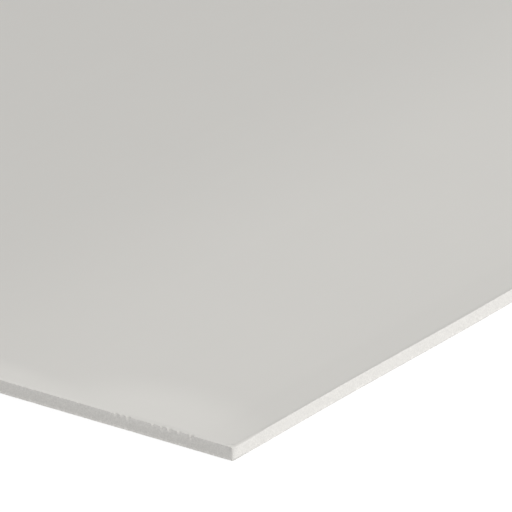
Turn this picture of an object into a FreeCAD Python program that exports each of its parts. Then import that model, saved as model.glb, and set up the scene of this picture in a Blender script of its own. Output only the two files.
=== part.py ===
"""Rigid foam PVC sheet: one closed-cell board, extruded flat and trimmed square on all four sides.

Frame, in millimetres: +Z up, X along the length, Y across the width. The origin is the middle of
the lower face, which is the face that the sheet lies on.
"""

import FreeCAD
import Part
import os

# Stock size
LENGTH = 1219.2  # along the extrusion direction, 4 ft
WIDTH = 609.6  # across the extrusion direction, 2 ft
THICKNESS = 6.0  # from skin to skin

# Trimmed edges
CORNER_RADIUS = 0.5  # the four upright corners, dulled by handling
ARRIS_RADIUS = 0.2  # the saw's break between each cut edge and the two skins
LARGEST_SHARE_OF_THICKNESS = 0.4  # so that the two arrises of a cut edge never meet
LARGEST_SHARE_OF_CORNER = 0.8  # so that the arris can turn the rounded corner

PARTS_FOLDER = "parts"


def square_board():
    """The board as trimmed, sharp on every edge, standing on its lower face."""
    corner = FreeCAD.Vector(-LENGTH / 2, -WIDTH / 2, 0)
    return Part.makeBox(LENGTH, WIDTH, THICKNESS, corner)


def is_upright(edge):
    """True for an edge that runs from the lower face to the upper one."""
    return edge.BoundBox.ZLength > THICKNESS / 2


def dull_corners(board):
    """Rounds the four upright corners."""
    uprights = [edge for edge in board.Edges if is_upright(edge)]
    return board.makeFillet(CORNER_RADIUS, uprights)


def break_arrises(board):
    """Breaks the sharp line round the upper face and the lower face."""
    radius = min(
        ARRIS_RADIUS,
        THICKNESS * LARGEST_SHARE_OF_THICKNESS,
        CORNER_RADIUS * LARGEST_SHARE_OF_CORNER,
    )
    rims = [edge for edge in board.Edges if not is_upright(edge)]
    return board.makeFillet(radius, rims)


def pvc_sheet():
    """The whole sheet as one solid."""
    return break_arrises(dull_corners(square_board()))


os.makedirs(PARTS_FOLDER, exist_ok=True)
pvc_sheet().exportStep(f"{PARTS_FOLDER}/pvc_sheet.step")
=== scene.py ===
"""Rigid foam PVC sheet: one sawn board that lies flat on a white studio floor."""

import math
import random

import bmesh
import bpy
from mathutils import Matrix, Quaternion, Vector, noise


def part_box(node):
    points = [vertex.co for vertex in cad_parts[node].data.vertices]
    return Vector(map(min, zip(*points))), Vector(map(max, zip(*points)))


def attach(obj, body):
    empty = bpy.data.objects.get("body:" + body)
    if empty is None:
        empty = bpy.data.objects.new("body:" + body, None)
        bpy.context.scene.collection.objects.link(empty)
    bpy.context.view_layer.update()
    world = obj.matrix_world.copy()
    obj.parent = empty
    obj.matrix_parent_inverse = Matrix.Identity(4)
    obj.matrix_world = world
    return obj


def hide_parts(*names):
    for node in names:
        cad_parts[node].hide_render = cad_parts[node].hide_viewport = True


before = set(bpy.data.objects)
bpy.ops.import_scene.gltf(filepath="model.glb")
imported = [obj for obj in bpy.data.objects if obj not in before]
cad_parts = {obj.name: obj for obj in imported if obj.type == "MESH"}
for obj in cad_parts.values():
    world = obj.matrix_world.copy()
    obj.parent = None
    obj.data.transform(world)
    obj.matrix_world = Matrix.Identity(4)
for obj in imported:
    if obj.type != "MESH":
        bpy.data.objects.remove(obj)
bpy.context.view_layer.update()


# The board
# One piece of white PVC, foamed and extruded flat, so that a dense satin skin closes over a core
# of fine bubbles. A circular saw trimmed it square on all four sides, and left a low burr along the
# upper arrises, and small chips where the teeth broke out.

MM = 0.001
low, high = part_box("pvc_sheet")
length, width, thickness = high - low

CORNER_RADIUS = 0.5 * MM
CORNER_STEPS = 3
ARRIS_RADIUS = 0.2 * MM
ARRIS_STEPS = 2
MERGE_DISTANCE = 0.01 * MM  # under which two points are one
STEP_ON_LONG_SIDES = 0.8 * MM  # how closely the outline is divided, for the ripple and the chips
STEP_ON_SHORT_SIDES = 0.5 * MM
WALL_ROWS = (1.6 * MM, 0.75 * MM)  # rows on the cut edge, measured from the nearer face
BURR_ROWS = (0.6 * MM, 1.2 * MM, 2.1 * MM)  # rows on the upper face, measured in from the cut edge
LOWER_ROWS = (1.2 * MM,)  # the same on the lower face
COARSE_ROWS = (  # on both faces: how far in, and how far apart the points are
    (7 * MM, 3.5 * MM),
    (24 * MM, 14 * MM),
)


def rim(shell, upper):
    """The open loop of edges round the upper or the lower side of the unfinished shell."""
    middle = low.z + thickness / 2
    loops = [edge for edge in shell.edges if edge.is_boundary]
    return [edge for edge in loops if (edge.verts[0].co.z > middle) == upper]


def add_row(shell, edges, inset, height, spacing=MERGE_DISTANCE):
    """Extrudes the loop to an inset rectangle, and merges what meets at its corners."""
    made = bmesh.ops.extrude_edge_only(shell, edges=edges)["geom"]
    row = [item for item in made if isinstance(item, bmesh.types.BMVert)]
    for vert in row:
        vert.co.x = min(max(vert.co.x, low.x + inset), high.x - inset)
        vert.co.y = min(max(vert.co.y, low.y + inset), high.y - inset)
        vert.co.z = height
    bmesh.ops.remove_doubles(shell, verts=row, dist=spacing)


def section(wall_rows, face_rows):
    """The section from the wall to the face: how far in from the wall, and away from the face."""
    turns = [math.pi / 2 * step / ARRIS_STEPS for step in range(ARRIS_STEPS + 1)]
    wall = [(0, depth) for depth in wall_rows]
    arris = [(ARRIS_RADIUS * (1 - math.cos(a)), ARRIS_RADIUS * (1 - math.sin(a))) for a in turns]
    return wall + arris + [(inset, 0) for inset in face_rows]


def board_outline(shell):
    """The outline at half the thickness: a rectangle with rounded corners, divided closely."""
    bmesh.ops.create_grid(shell, x_segments=1, y_segments=1, size=0.5)
    bmesh.ops.scale(shell, vec=(length, width, 1), verts=shell.verts)
    bmesh.ops.translate(shell, vec=(low + high) / 2, verts=shell.verts)
    bmesh.ops.bevel(
        shell, geom=shell.verts[:], offset=CORNER_RADIUS, offset_type="OFFSET",
        segments=CORNER_STEPS, profile=0.5, material=-1, affect="VERTICES",
    )
    bmesh.ops.delete(shell, geom=shell.faces[:], context="FACES_ONLY")
    for side, step in ((length, STEP_ON_LONG_SIDES), (width, STEP_ON_SHORT_SIDES)):
        straight = side - 2 * CORNER_RADIUS
        edges = [edge for edge in shell.edges if abs(edge.calc_length() - straight) < MM]
        bmesh.ops.subdivide_edges(shell, edges=edges, cuts=round(straight / step) - 1)


shell = bmesh.new()
board_outline(shell)
rows = section(WALL_ROWS, BURR_ROWS)
add_row(shell, shell.edges[:], 0, high.z - rows[0][1])
for inset, depth in rows[1:]:
    add_row(shell, rim(shell, True), inset, high.z - depth)
for inset, depth in section(WALL_ROWS, LOWER_ROWS):
    add_row(shell, rim(shell, False), inset, low.z + depth)
for height, upper in ((high.z, True), (low.z, False)):
    for inset, spacing in COARSE_ROWS:
        add_row(shell, rim(shell, upper), inset, height, spacing)
    bmesh.ops.edgeloop_fill(shell, edges=rim(shell, upper))
bmesh.ops.recalc_face_normals(shell, faces=shell.faces)

SIDES = (  # axis across the wall, axis along it, where it stands, and which way is into the board
    (0, 1, low.x, 1),
    (0, 1, high.x, -1),
    (1, 0, low.y, 1),
    (1, 0, high.y, -1),
)
BURR_RISE = 0.05 * MM  # of the arris over the face
BURR_DIP = 0.1 * MM  # of the face just inside the arris
BURR_WIDTH = 2.1 * MM
CORNER_EASE = 0.1 * MM  # how much the handled corners are worn back
CORNER_EASE_LENGTH = 4 * MM
SAW_WANDER = (0.08 * MM, 0.45 * MM)  # on the short sides, and on the long ones
SAW_WANDER_LENGTH = 140 * MM
SAW_WANDER_CHANGE = 300 * MM  # over which the wander gets longer or shorter
SAW_RIPPLE = 0.1 * MM
SAW_RIPPLE_LENGTH = 5 * MM
RIPPLE_SEED = 7.5
RAGGED_DEPTH = 0.14 * MM
RAGGED_LENGTH = 1.6 * MM
RAGGED_SEED = 3.5
BITE_REACH = 1.6 * MM  # how far from the arris a bite pulls the board in
DROP_REACH = 2.4 * MM  # how far down the cut edge, and half as far in, torn skin pulls it down
CHIPS_A_METRE = 60
CHIP_WIDTHS = (1 * MM, 3 * MM)
CHIP_BITES = (0.06 * MM, 0.25 * MM)  # into the edge
CHIP_DROPS = (0, 0.3 * MM)  # of the skin
DAMAGE_STEP = 0.1 * MM  # places that are nearer to each other share one value
CHIP_SEED = 7
LOWER_SHARE = 0.25  # of the damage on the lower arrises, where the teeth came in
NEAR_END_DAMAGE = (  # on the short side, in millimetres: from the near corner, width, bite and drop
    (21.2, 1.5, 0.1, 1.7), (22.9, 1.6, 0.4, 0.0), (25.0, 3.4, 0.4, 0.0), (27.4, 1.3, 0.1, 0.8),
    (29.2, 1.8, 0.4, 0.0), (31.1, 1.5, 0.5, 0.0), (32.5, 1.3, 0.1, 1.2), (34.7, 1.6, 0.5, 0.0),
    (36.2, 1.5, 0.1, 1.5), (38.3, 2.8, 0.45, 0.0), (40.6, 1.3, 0.1, 0.9), (47.0, 11.0, 0.35, 0.1),
    (52.5, 1.2, 0.5, 0.0), (53.6, 1.5, 0.1, 1.5), (55.7, 1.6, 0.5, 0.0), (56.9, 1.2, 0.1, 0.8),
    (58.8, 1.8, 0.5, 0.0), (60.0, 1.2, 0.1, 1.0), (60.9, 1.0, 0.4, 0.0),
)
NEAR_CORNER_WEAR = (0.0, 44.0, 0.1, 0.5)  # the same on the long side, which is rubbed down there


def scattered_chips(side_length, share, chance):
    """Damage along one arris: where each chip is, how wide, how far in and how far down."""
    return [
        (
            chance.uniform(0, side_length), chance.uniform(*CHIP_WIDTHS),
            chance.uniform(*CHIP_BITES) * share, chance.uniform(*CHIP_DROPS) * share,
        )
        for _ in range(round(side_length * CHIPS_A_METRE))
    ]


def fade(distance, reach):
    """1 at no distance, and 0 from reach on, with no corner at either end."""
    share = min(max(distance / reach, 0), 1)
    return 1 - share * share * (3 - 2 * share)


chance = random.Random(CHIP_SEED)
chips = {}
for number, (_, along, _, _) in enumerate(SIDES):
    for upper, share in ((True, 1), (False, LOWER_SHARE)):
        chips[number, upper] = scattered_chips((length, width)[along], share, chance)
chips[0, True] += [tuple(value * MM for value in chip) for chip in NEAR_END_DAMAGE]
chips[2, True].append(tuple(value * MM for value in NEAR_CORNER_WEAR))
found = {}


def damage(number, upper, place):
    """The bite and the drop at a place on one of the eight arrises, each worked out once."""
    key = number, upper, round(place / DAMAGE_STEP)
    if key not in found:
        bite = drop = 0
        for middle, chip_width, chip_bite, chip_drop in chips[number, upper]:
            off = abs(place - middle) * 2 / chip_width
            if off < 1:
                share = math.sqrt(1 - off * off)
                bite = max(bite, chip_bite * share)
                drop = max(drop, chip_drop * share)
        found[key] = bite, drop
    return found[key]


def relief(point):
    """How far the real surface lies from the plain board at this point."""
    move = Vector((0, 0, 0))
    for number, (across, along, wall, inward) in enumerate(SIDES):
        inset = (point[across] - wall) * inward
        if inset > BURR_WIDTH:
            continue
        place = point[along] - low[along]
        to_corner = min(place, high[along] - point[along])
        pull = CORNER_EASE * max(0, 1 - to_corner / CORNER_EASE_LENGTH) ** 2
        drift = noise.noise(Vector((place / SAW_WANDER_CHANGE, number, 0)))
        turns = place / SAW_WANDER_LENGTH + drift
        pull += SAW_WANDER[across] * (1 - math.cos(2 * math.pi * turns)) / 2
        slant = place + point.z - low.z
        ripple = noise.noise(Vector((slant / SAW_RIPPLE_LENGTH, number, RIPPLE_SEED)))
        pull += SAW_RIPPLE * (1 + ripple) / 2
        move[across] += inward * pull * fade(inset, BURR_WIDTH)
        for upper, face, down in ((True, high.z, -1), (False, low.z, 1)):
            depth = abs(point.z - face)
            bite, drop = damage(number, upper, place)
            rough = noise.noise(Vector((place / RAGGED_LENGTH, number, RAGGED_SEED + upper)))
            bite += RAGGED_DEPTH * max(0, rough) * (1 if upper else LOWER_SHARE)
            move[across] += inward * bite * max(0, 1 - math.hypot(inset, depth) / BITE_REACH)
            drop *= max(0, 1 - 2 * inset / DROP_REACH) * max(0, 1 - depth / DROP_REACH)
            move.z += down * drop
            if upper and depth < ARRIS_RADIUS:
                share = max(0, inset - ARRIS_RADIUS) / (BURR_WIDTH - ARRIS_RADIUS)
                move.z += BURR_RISE * (1 - share) - BURR_DIP * share
    return move


CORE_SHOWS = 0.2 * MM  # a bite that is deeper than this goes through the skin
SKIN_STARTS = 0.25 * ARRIS_RADIUS  # in from the cut edge


def is_sawn(face):
    """True where the foamed core shows: on the cut edges, and in the bites."""
    middle = face.calc_center_median()
    for number, (across, along, wall, inward) in enumerate(SIDES):
        inset = (middle[across] - wall) * inward
        if inset < SKIN_STARTS:
            return True
        if inset < ARRIS_RADIUS:
            upper = middle.z > low.z + thickness / 2
            if damage(number, upper, middle[along] - low[along])[0] > CORE_SHOWS:
                return True
    return False


for face in shell.faces:
    face.smooth = True
    face.material_index = int(is_sawn(face))
moves = [relief(vert.co) for vert in shell.verts]
for vert, move in zip(shell.verts, moves):
    vert.co += move
mesh = bpy.data.meshes.new("foam_board")
shell.to_mesh(mesh)
shell.free()
board = bpy.data.objects.new("foam_board", mesh)
bpy.context.collection.objects.link(board)


def linear(code):
    """An sRGB hex colour as the linear colour that Blender works in."""
    parts = [int(code[start : start + 2], 16) / 255 for start in (0, 2, 4)]
    return [p / 12.92 if p <= 0.04045 else ((p + 0.055) / 1.055) ** 2.4 for p in parts] + [1]


def add_node(tree, kind, settings, links):
    """Adds a node with its own properties, and with a socket or a plain value at each input."""
    node = tree.nodes.new(kind)
    for name, value in settings.items():
        setattr(node, name, value)
    for name, value in links.items():
        if isinstance(value, bpy.types.NodeSocket):
            tree.links.new(value, node.inputs[name])
        else:
            node.inputs[name].default_value = value
    return node


def new_material(name):
    """An empty material and its node tree."""
    material = bpy.data.materials.new(name)
    material.use_nodes = True
    tree = material.node_tree
    tree.nodes.clear()
    return material, tree


# The skin is foamed PVC that was cooled against a polished sizing plate: dense, white and satin.
# The eye gets an even, faintly clouded surface, thin lines along the extrusion, a very fine orange
# peel and a small scuff by the near corner. Painted on it are a pale pool of light along the trimmed
# end, painted shade where its upper arris rolls down, and bands of painted light and shade along
# the arrises and across the width, where the key light falls off.

SKIN_COLOUR = "D7D5D0"
SKIN_CLOUD = 70 * MM
CLOUD_SHADES = (0.985, 1.015)
SKIN_LINE = 9 * MM
SKIN_LINE_STRETCH = 0.04  # the lines are 25 times as long as they are wide
LINE_SHADES = (-0.006, 0.006)
SKIN_ROUGHNESS = (0.38, 0.48)
SKIN_PEEL = 2.4 * MM  # drawn twice as coarse as the real one, which would not show
SKIN_PEEL_HEIGHT = 0.004 * MM
NEAR_CORNER = Vector((low.x, low.y, high.z))  # of the upper face
MARK_EDGE = 0.62  # the share of a mark's reach over which it fades in
PAINTED_LIGHT_SHADE_AND_SCUFF = (  # where it is from the near corner, its turn, its reach and its change of shade
    # painted light: a pale pool along the trimmed end, and its tail further along
    (Vector((0, 45, 0)) * MM, 0, Vector((48, 65, 5)) * MM, 0.085),
    (Vector((0, 130, 0)) * MM, 0, Vector((21, 60, 5)) * MM, 0.08),
    # painted shade where the upper arris of the trimmed end rolls down
    (Vector((0, 38, 0)) * MM, 0, Vector((4.6, 36, 5)) * MM, -0.065),
    # darker along the long arris by the near corner
    (Vector((9, 0, 0)) * MM, 0, Vector((16, 3, 5)) * MM, -0.05),
    # a scuff
    (Vector((2.5, 3.0, 0)) * MM, math.radians(-53), Vector((2.8, 0.9, 2)) * MM, -0.09),
)
PAINTED_LIGHT_AND_SHADE_BANDS = (  # painted light and shade: axis, from where to where, and how much the shade changes in between
    # painted light and shade across the width, where the key light falls off from the near long side
    ("Y", low.y + 30 * MM, low.y + 100 * MM, 0.016),
    ("Y", low.y + 112 * MM, low.y + 226 * MM, -0.046),
    ("Y", low.y + 45 * MM, low.y + 6 * MM, -0.026),
    ("Y", low.y + 21 * MM, low.y + 14 * MM, -0.011),
    ("Y", low.y + 7 * MM, low.y + 3.5 * MM, 0.010),
    # painted shade just inside the long arrises, on the burr's inner slope
    ("Y", low.y + 2.3 * MM, low.y + 1.3 * MM, -0.045),
    ("Y", high.y - 2.3 * MM, high.y - 1.3 * MM, -0.045),
    # painted light just inside the short arrises, on the burr's inner slope
    ("X", low.x + 2.8 * MM, low.x + 1.6 * MM, 0.02),
    ("X", high.x - 2.8 * MM, high.x - 1.6 * MM, 0.02),
)
PVC_IOR = 1.53

skin, tree = new_material("foamed_pvc_skin")
place = add_node(tree, "ShaderNodeTexCoord", {}, {}).outputs["Object"]
cloud = add_node(
    tree, "ShaderNodeTexNoise", {}, {"Vector": place, "Scale": 1 / SKIN_CLOUD, "Detail": 3.0}
)
stretched = add_node(
    tree, "ShaderNodeMapping", {}, {"Vector": place, "Scale": (SKIN_LINE_STRETCH, 1, 1)}
)
line = add_node(
    tree, "ShaderNodeTexNoise", {},
    {"Vector": stretched.outputs[0], "Scale": 1 / SKIN_LINE, "Detail": 2.0},
)
shades = []
for middle, turn, reach, change in PAINTED_LIGHT_SHADE_AND_SCUFF:
    mark_place = add_node(
        tree, "ShaderNodeMapping", {"vector_type": "TEXTURE"},
        {"Vector": place, "Location": NEAR_CORNER + middle, "Rotation": (0, 0, turn), "Scale": reach},
    )
    mark = add_node(
        tree, "ShaderNodeTexGradient", {"gradient_type": "SPHERICAL"},
        {"Vector": mark_place.outputs[0]},
    )
    shades.append(
        add_node(
            tree, "ShaderNodeMapRange", {"interpolation_type": "SMOOTHSTEP"},
            {"Value": mark.outputs["Fac"], "From Max": MARK_EDGE, "To Max": change},
        )
    )
axes = add_node(tree, "ShaderNodeSeparateXYZ", {}, {"Vector": place})
for axis, start, stop, change in PAINTED_LIGHT_AND_SHADE_BANDS:
    shades.append(
        add_node(
            tree, "ShaderNodeMapRange", {"interpolation_type": "SMOOTHSTEP"},
            {"Value": axes.outputs[axis], "From Min": start, "From Max": stop, "To Max": change},
        )
    )
cloud_shade = add_node(
    tree, "ShaderNodeMapRange", {},
    {"Value": cloud.outputs["Fac"], "To Min": CLOUD_SHADES[0], "To Max": CLOUD_SHADES[1]},
)
line_shade = add_node(
    tree, "ShaderNodeMapRange", {},
    {"Value": line.outputs["Fac"], "To Min": LINE_SHADES[0], "To Max": LINE_SHADES[1]},
)
shade = cloud_shade
for part in (line_shade, *shades):
    shade = add_node(
        tree, "ShaderNodeMath", {"operation": "ADD"}, {0: shade.outputs[0], 1: part.outputs[0]}
    )
tint = add_node(
    tree, "ShaderNodeVectorMath", {"operation": "SCALE"},
    {0: linear(SKIN_COLOUR)[:3], "Scale": shade.outputs[0]},
)
roughness = add_node(
    tree, "ShaderNodeMapRange", {},
    {"Value": cloud.outputs["Fac"], "To Min": SKIN_ROUGHNESS[0], "To Max": SKIN_ROUGHNESS[1]},
)
peel = add_node(
    tree, "ShaderNodeTexNoise", {}, {"Vector": place, "Scale": 1 / SKIN_PEEL, "Detail": 2.0}
)
peel_bump = add_node(
    tree, "ShaderNodeBump", {}, {"Height": peel.outputs["Fac"], "Distance": SKIN_PEEL_HEIGHT}
)
satin = add_node(
    tree, "ShaderNodeBsdfPrincipled", {},
    {
        "Base Color": tint.outputs[0], "Roughness": roughness.outputs[0],
        "IOR": PVC_IOR, "Normal": peel_bump.outputs[0],
    },
)
add_node(tree, "ShaderNodeOutputMaterial", {}, {"Surface": satin.outputs[0]})

# The sawn core is the same PVC as an open cut through fine bubbles. The eye gets a dead matt,
# grainy band, with slanting strokes from the saw's teeth. Painted on it are glints of torn crumbs
# along the lower arris, a paler line on the short sides that is the cut through the lower skin and
# painted light from the floor, painted light on the torn flaps, painted shade by the near corner,
# and a darker patch at the top of that corner.

CORE_COLOUR = "D8D6D2"
STROKE_WIDTH = 1.3 * MM
STROKE_LENGTH = 6 * MM
STROKE_DEPTH = 0.03 * MM
STROKE_SLANT = math.radians(-50)
STROKE_SHADES = (0.945, 1.055)
PORE_SIZE = 0.7 * MM  # about three times as coarse as the real bubbles, which would not show
PORE_DEPTH = 0.02 * MM
PORE_SHADES = (0.83, 1.17)
CRUMB_SIZE = 1.6 * MM  # torn crumbs of foam that catch the light along the lower arris
CRUMB_EDGES = (0.54, 0.66)  # of the noise, from between the crumbs to their tops
CRUMB_LIGHT = 0.16
CRUMB_REACH = 2.2 * MM
CORE_ROUGHNESS = 0.85
DARKENING_BY_CORNER = (  # darker round the near corner, mostly painted shade: where, how far it reaches, and how much darker
    # darker round the top of the near corner
    (NEAR_CORNER, Vector((4.2, 4.2, 3.6)) * MM, 0.17),
    # painted shade: the short cut edge darker towards the near corner
    (Vector((low.x, low.y, low.z)), Vector((3, 70, 30)) * MM, 0.045),
    # painted shadow: a dark line along the lower arris of the long side, by the corner
    (Vector((low.x, low.y, low.z)), Vector((11, 1.5, 1.1)) * MM, 0.3),
)
LOWER_SKIN_AND_BOUNCE_LINES = tuple(  # paler all along the lower arris of both short sides: the cut through the lower skin, and painted light from the floor's bounce
    (Vector((end, 0, low.z)), Vector((1.5, 900, 1.4)) * MM, -0.25) for end in (low.x, high.x)
)
FLAP_PAINTED_LIGHT = -0.25  # painted light: flaps of torn skin are painted paler than the foam that they hang over, as if lit from above
FLAP_REACH = (1.5, 1.1, 1.6)  # millimetres in and along, and a multiple of the drop
SMALLEST_FLAP = 0.5  # the drop in millimetres from which a flap shows
PAINTED_FLAP_LIGHTS = tuple(
    (
        NEAR_CORNER + Vector((0, from_corner, 0)) * MM,
        Vector((FLAP_REACH[0], FLAP_REACH[1], FLAP_REACH[2] * drop)) * MM,
        FLAP_PAINTED_LIGHT,
    )
    for from_corner, _, _, drop in NEAR_END_DAMAGE
    if drop > SMALLEST_FLAP
)

core, tree = new_material("sawn_pvc_foam")
place = add_node(tree, "ShaderNodeTexCoord", {}, {}).outputs["Object"]
axes = add_node(tree, "ShaderNodeSeparateXYZ", {}, {"Vector": place})
along = add_node(
    tree, "ShaderNodeMath", {"operation": "ADD"}, {0: axes.outputs["X"], 1: axes.outputs["Y"]}
)
flat_place = add_node(
    tree, "ShaderNodeCombineXYZ", {}, {"X": along.outputs[0], "Y": axes.outputs["Z"]}
)
slanted = add_node(
    tree, "ShaderNodeMapping", {},
    {"Vector": flat_place.outputs[0], "Rotation": (0, 0, STROKE_SLANT)},
)
drawn_out = add_node(
    tree, "ShaderNodeMapping", {},
    {"Vector": slanted.outputs[0], "Scale": (1 / STROKE_WIDTH, 1 / STROKE_LENGTH, 1)},
)
strokes = add_node(
    tree, "ShaderNodeTexNoise", {}, {"Vector": drawn_out.outputs[0], "Scale": 1.0, "Detail": 3.0}
)
pores = add_node(
    tree, "ShaderNodeTexNoise", {}, {"Vector": place, "Scale": 1 / PORE_SIZE, "Detail": 2.0}
)
stroke_shade = add_node(
    tree, "ShaderNodeMapRange", {},
    {"Value": strokes.outputs["Fac"], "To Min": STROKE_SHADES[0], "To Max": STROKE_SHADES[1]},
)
pore_shade = add_node(
    tree, "ShaderNodeMapRange", {},
    {"Value": pores.outputs["Fac"], "To Min": PORE_SHADES[0], "To Max": PORE_SHADES[1]},
)
shade = add_node(
    tree, "ShaderNodeMath", {"operation": "MULTIPLY"},
    {0: stroke_shade.outputs[0], 1: pore_shade.outputs[0]},
)
# darker and paler spots on the core: painted shade by the corner, the paler lower lines, painted
# light on the flaps
for middle, reach, change in DARKENING_BY_CORNER + LOWER_SKIN_AND_BOUNCE_LINES + PAINTED_FLAP_LIGHTS:
    spot_place = add_node(
        tree, "ShaderNodeMapping", {"vector_type": "TEXTURE"},
        {"Vector": place, "Location": middle, "Scale": reach},
    )
    spot = add_node(
        tree, "ShaderNodeTexGradient", {"gradient_type": "SPHERICAL"},
        {"Vector": spot_place.outputs[0]},
    )
    spot_shade = add_node(
        tree, "ShaderNodeMapRange", {},
        {"Value": spot.outputs["Fac"], "To Min": 1.0, "To Max": 1 - change},
    )
    shade = add_node(
        tree, "ShaderNodeMath", {"operation": "MULTIPLY"},
        {0: shade.outputs[0], 1: spot_shade.outputs[0]},
    )
crumbs = add_node(
    tree, "ShaderNodeTexNoise", {}, {"Vector": place, "Scale": 1 / CRUMB_SIZE, "Detail": 1.0}
)
crumb_shade = add_node(
    tree, "ShaderNodeMapRange", {"interpolation_type": "SMOOTHSTEP"},
    {
        "Value": crumbs.outputs["Fac"], "From Min": CRUMB_EDGES[0], "From Max": CRUMB_EDGES[1],
        "To Max": CRUMB_LIGHT,
    },
)
by_the_arris = add_node(
    tree, "ShaderNodeMapRange", {},
    {"Value": axes.outputs["Z"], "From Min": low.z + CRUMB_REACH, "From Max": low.z},
)
crumb_shade = add_node(
    tree, "ShaderNodeMath", {"operation": "MULTIPLY_ADD"},
    {0: crumb_shade.outputs[0], 1: by_the_arris.outputs[0], 2: 1.0},
)
shade = add_node(
    tree, "ShaderNodeMath", {"operation": "MULTIPLY"},
    {0: shade.outputs[0], 1: crumb_shade.outputs[0]},
)
tint = add_node(
    tree, "ShaderNodeVectorMath", {"operation": "SCALE"},
    {0: linear(CORE_COLOUR)[:3], "Scale": shade.outputs[0]},
)
stroke_bump = add_node(
    tree, "ShaderNodeBump", {}, {"Height": strokes.outputs["Fac"], "Distance": STROKE_DEPTH}
)
pore_bump = add_node(
    tree, "ShaderNodeBump", {},
    {"Height": pores.outputs["Fac"], "Distance": PORE_DEPTH, "Normal": stroke_bump.outputs[0]},
)
matt = add_node(
    tree, "ShaderNodeBsdfPrincipled", {},
    {
        "Base Color": tint.outputs[0], "Roughness": CORE_ROUGHNESS,
        "IOR": PVC_IOR, "Normal": pore_bump.outputs[0],
    },
)
add_node(tree, "ShaderNodeOutputMaterial", {}, {"Surface": matt.outputs[0]})

mesh.materials.append(skin)
mesh.materials.append(core)
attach(board, "root")
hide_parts("pvc_sheet")


# The floor and the sky round it
# A white sweep that is burnt out to plain white behind the board, with the board's soft shadow left
# on it. It is white to the eye, and a plain matt floor to the light that falls on the board.

FLOOR_SIZE = 120.0
FLOOR_DROP = 0.05 * MM
FLOOR_COLOUR = "DCDCDC"
FLOOR_GLOW = 0.79  # what is left in the deepest shadow
FLOOR_SHADOW_COLOUR = "959595"
SKY_LEVEL = 0.88

shell = bmesh.new()
bmesh.ops.create_grid(shell, x_segments=1, y_segments=1, size=FLOOR_SIZE / 2)
bmesh.ops.translate(shell, vec=(0, 0, low.z - FLOOR_DROP), verts=shell.verts)
mesh = bpy.data.meshes.new("floor")
shell.to_mesh(mesh)
shell.free()
floor = bpy.data.objects.new("floor", mesh)
bpy.context.collection.objects.link(floor)


def seen_directly(tree):
    """1 for what is seen straight, in a mirror or through glass, and 0 for light on its way."""
    path = add_node(tree, "ShaderNodeLightPath", {}, {})
    glossy = add_node(
        tree, "ShaderNodeMath", {"operation": "MAXIMUM"},
        {0: path.outputs["Is Camera Ray"], 1: path.outputs["Is Glossy Ray"]},
    )
    return add_node(
        tree, "ShaderNodeMath", {"operation": "MAXIMUM"},
        {0: glossy.outputs[0], 1: path.outputs["Is Transmission Ray"]},
    ).outputs[0]


sweep, tree = new_material("white_studio_sweep")
matt_floor = add_node(tree, "ShaderNodeBsdfDiffuse", {}, {"Color": linear(FLOOR_COLOUR)})
shadow_floor = add_node(tree, "ShaderNodeBsdfDiffuse", {}, {"Color": linear(FLOOR_SHADOW_COLOUR)})
glow = add_node(tree, "ShaderNodeEmission", {}, {"Strength": FLOOR_GLOW})
white_floor = add_node(
    tree, "ShaderNodeAddShader", {}, {0: shadow_floor.outputs[0], 1: glow.outputs[0]}
)
either = add_node(
    tree, "ShaderNodeMixShader", {},
    {0: seen_directly(tree), 1: matt_floor.outputs[0], 2: white_floor.outputs[0]},
)
add_node(tree, "ShaderNodeOutputMaterial", {}, {"Surface": either.outputs[0]})
mesh.materials.append(sweep)

world = bpy.data.worlds.new("studio")
world.use_nodes = True
tree = world.node_tree
tree.nodes.clear()
level = add_node(
    tree, "ShaderNodeMapRange", {},
    {"Value": seen_directly(tree), "To Min": SKY_LEVEL, "To Max": 1.0},
)
sky = add_node(tree, "ShaderNodeBackground", {}, {"Strength": level.outputs[0]})
add_node(tree, "ShaderNodeOutputWorld", {}, {"Surface": sky.outputs[0]})
bpy.context.scene.world = world


# The key light
# One long, low strip box beside the board's long side. It makes that cut edge the brightest face
# and falls off gently over the skin. It isn't mirrored in the satin skin, which would burn out
# at a low angle.

KEY_SIZE = (3.2, 0.15)  # metres along the board, and high
KEY_MIDDLE = Vector((low.x + 0.8, low.y - 0.8, high.z + 0.275))
KEY_TARGET = Vector((low.x + 0.8, low.y, high.z))
KEY_WATTS = 10.3

lamp = bpy.data.lights.new("strip_box", "AREA")
lamp.shape = "RECTANGLE"
lamp.size, lamp.size_y = KEY_SIZE
lamp.energy = KEY_WATTS
key = bpy.data.objects.new("strip_box", lamp)
key.location = KEY_MIDDLE
key.rotation_euler = (KEY_TARGET - KEY_MIDDLE).to_track_quat("-Z", "Y").to_euler()
key.visible_camera = False
key.visible_glossy = False
bpy.context.collection.objects.link(key)


# The camera
# A very long lens, so that the view is nearly parallel, looking down over the near corner.

LENS = 700.0  # millimetres, on a sensor 36 mm wide
LOOK_DOWN = math.radians(23.11)
LOOK_TURN = math.radians(36.87)  # from the board's length towards its width
ROLL = math.radians(-0.88)
CORNER_IN_VIEW = Vector((-9.49 * MM, -77.7 * MM, -4.03))  # left of the middle, below it, and ahead

ahead = Vector((math.cos(LOOK_TURN), math.sin(LOOK_TURN), -math.tan(LOOK_DOWN)))
camera_data = bpy.data.cameras.new("camera")
camera_data.lens = LENS
camera = bpy.data.objects.new("camera", camera_data)
camera.rotation_mode = "QUATERNION"
camera.rotation_quaternion = ahead.to_track_quat("-Z", "Y") @ Quaternion((0, 0, 1), ROLL)
camera.location = NEAR_CORNER - camera.rotation_quaternion @ CORNER_IN_VIEW
bpy.context.collection.objects.link(camera)
bpy.context.scene.camera = camera
bpy.context.scene.view_settings.view_transform = "Standard"
